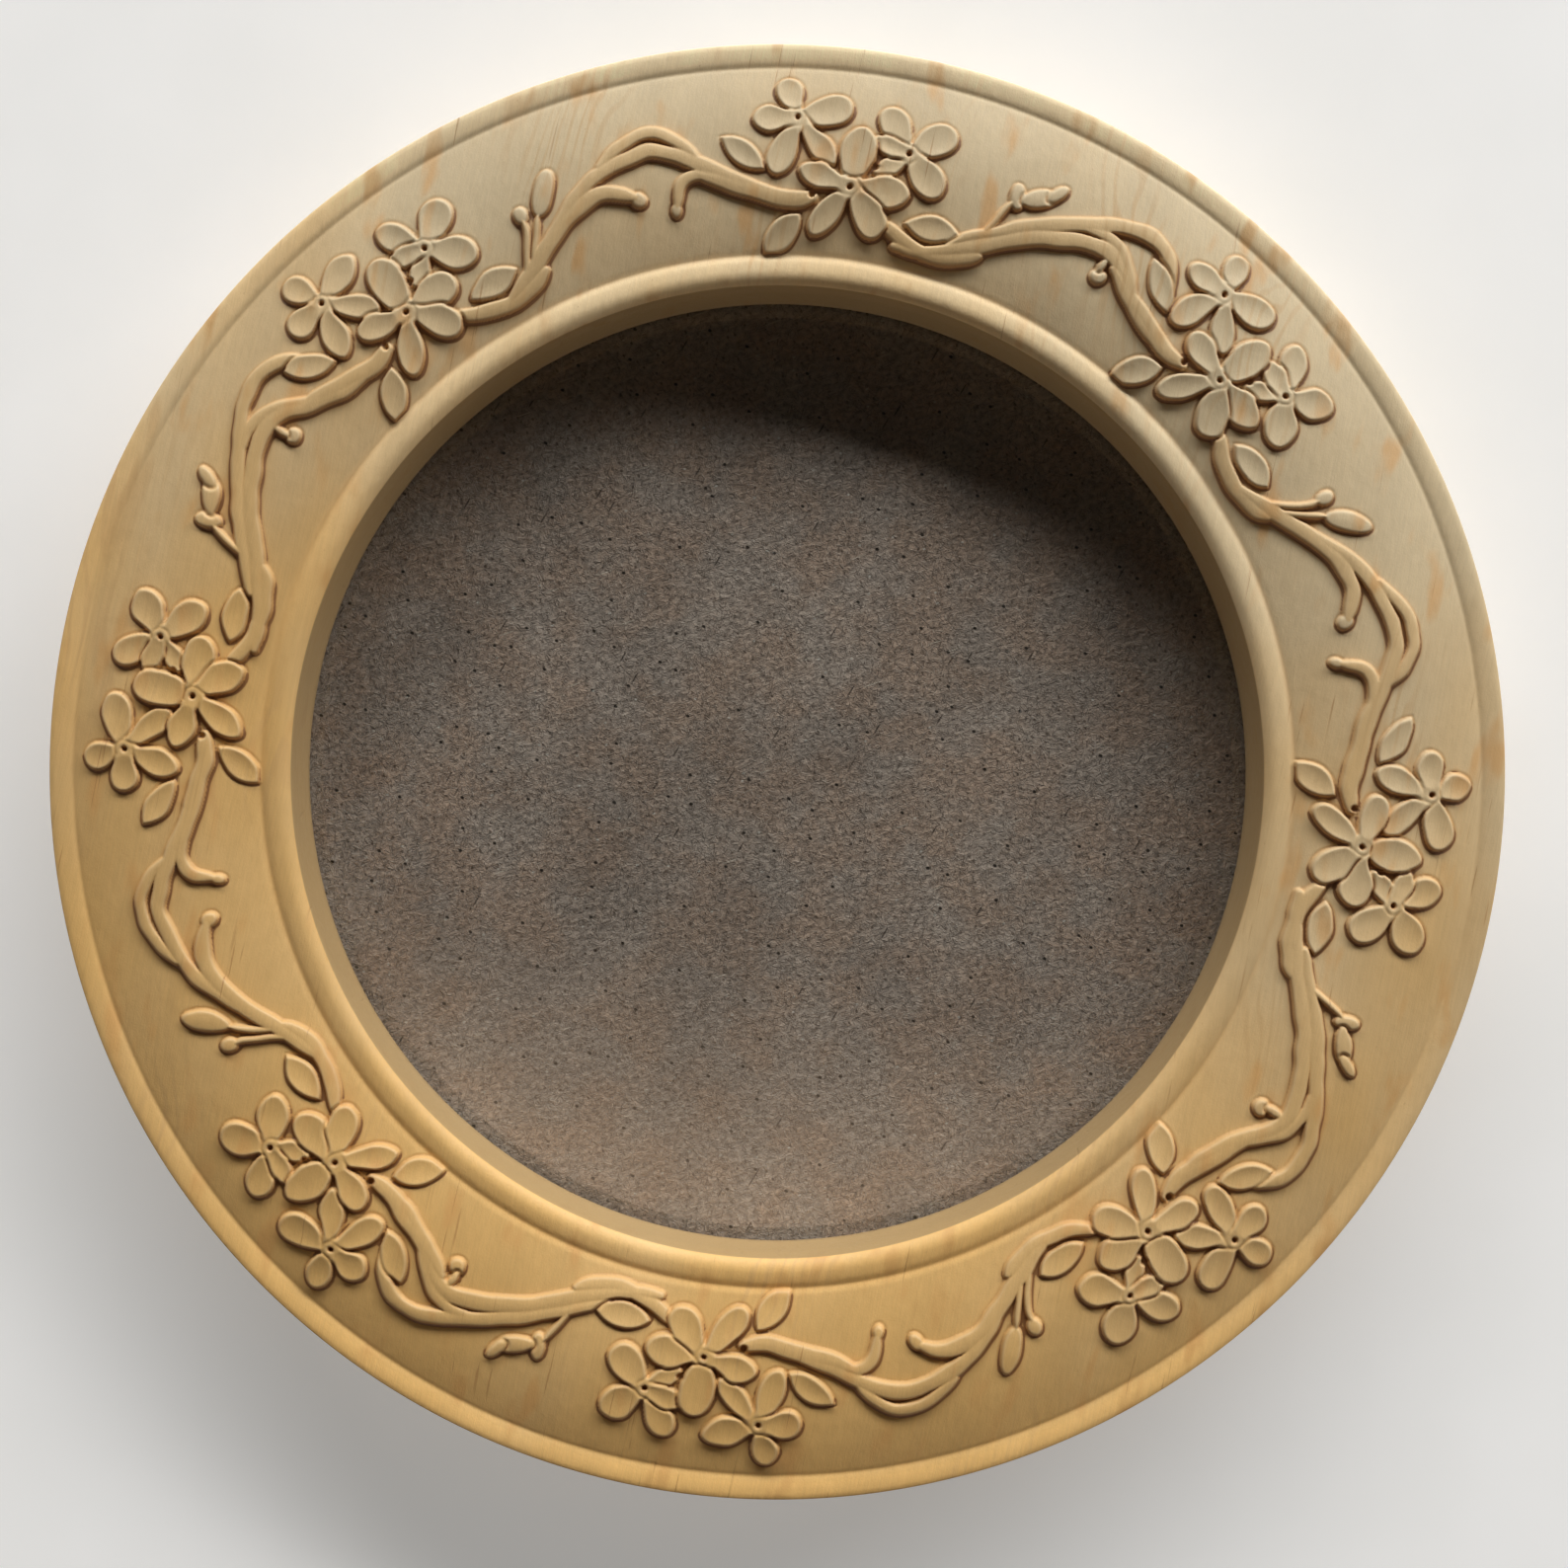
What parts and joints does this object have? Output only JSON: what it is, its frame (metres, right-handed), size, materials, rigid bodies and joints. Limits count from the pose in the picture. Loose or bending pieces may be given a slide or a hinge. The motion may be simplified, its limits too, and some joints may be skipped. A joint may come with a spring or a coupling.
{
  "type": "round photo frame",
  "caption": "Round carved wooden photo frame with a glass pane, a greyboard back held by turn buttons, and a saw-tooth hanger.",
  "frame": {"origin": "middle of the back face, on the plane that the frame lies on", "axes": "+Z out of the front of the frame, +Y to its top when it hangs, +X to the right seen from the front"},
  "size_m": [0.24, 0.24, 0.0253],
  "materials": {
    "pine": "sanded bare pine, pale cream",
    "pane": "clear float glass",
    "greyboard": "matt recycled greyboard with fibres and specks",
    "button_brass": "brass-plated steel, satin",
    "screw_steel": "brass-plated steel",
    "hanger_steel": "bright zinc-plated steel"
  },
  "bodies": {
    "frame": {"carved_ring": "pine", "glass_pane": "pane", "backing_board": "greyboard", "sawtooth_hanger": "hanger_steel", "turn_button_screw_1": "screw_steel", "turn_button_screw_2": "screw_steel", "turn_button_screw_3": "screw_steel", "turn_button_screw_4": "screw_steel", "hanger_nail_1": "hanger_steel", "hanger_nail_2": "hanger_steel"},
    "turn_button_1": {"turn_button_1": "button_brass"},
    "turn_button_2": {"turn_button_2": "button_brass"},
    "turn_button_3": {"turn_button_3": "button_brass"},
    "turn_button_4": {"turn_button_4": "button_brass"}
  },
  "joints": [
    {"name": "turn_button_1_turn", "type": "hinge", "parent": "frame", "child": "turn_button_1", "pos_m": [0.06505, 0.06505, 0.0034], "axis": [0, 0, 1], "range_deg": [-110, 110]},
    {"name": "turn_button_2_turn", "type": "hinge", "parent": "frame", "child": "turn_button_2", "pos_m": [-0.06505, 0.06505, 0.0034], "axis": [0, 0, 1], "range_deg": [-110, 110]},
    {"name": "turn_button_3_turn", "type": "hinge", "parent": "frame", "child": "turn_button_3", "pos_m": [-0.06505, -0.06505, 0.0034], "axis": [0, 0, 1], "range_deg": [-110, 110]},
    {"name": "turn_button_4_turn", "type": "hinge", "parent": "frame", "child": "turn_button_4", "pos_m": [0.06505, -0.06505, 0.0034], "axis": [0, 0, 1], "range_deg": [-110, 110]}
  ]
}
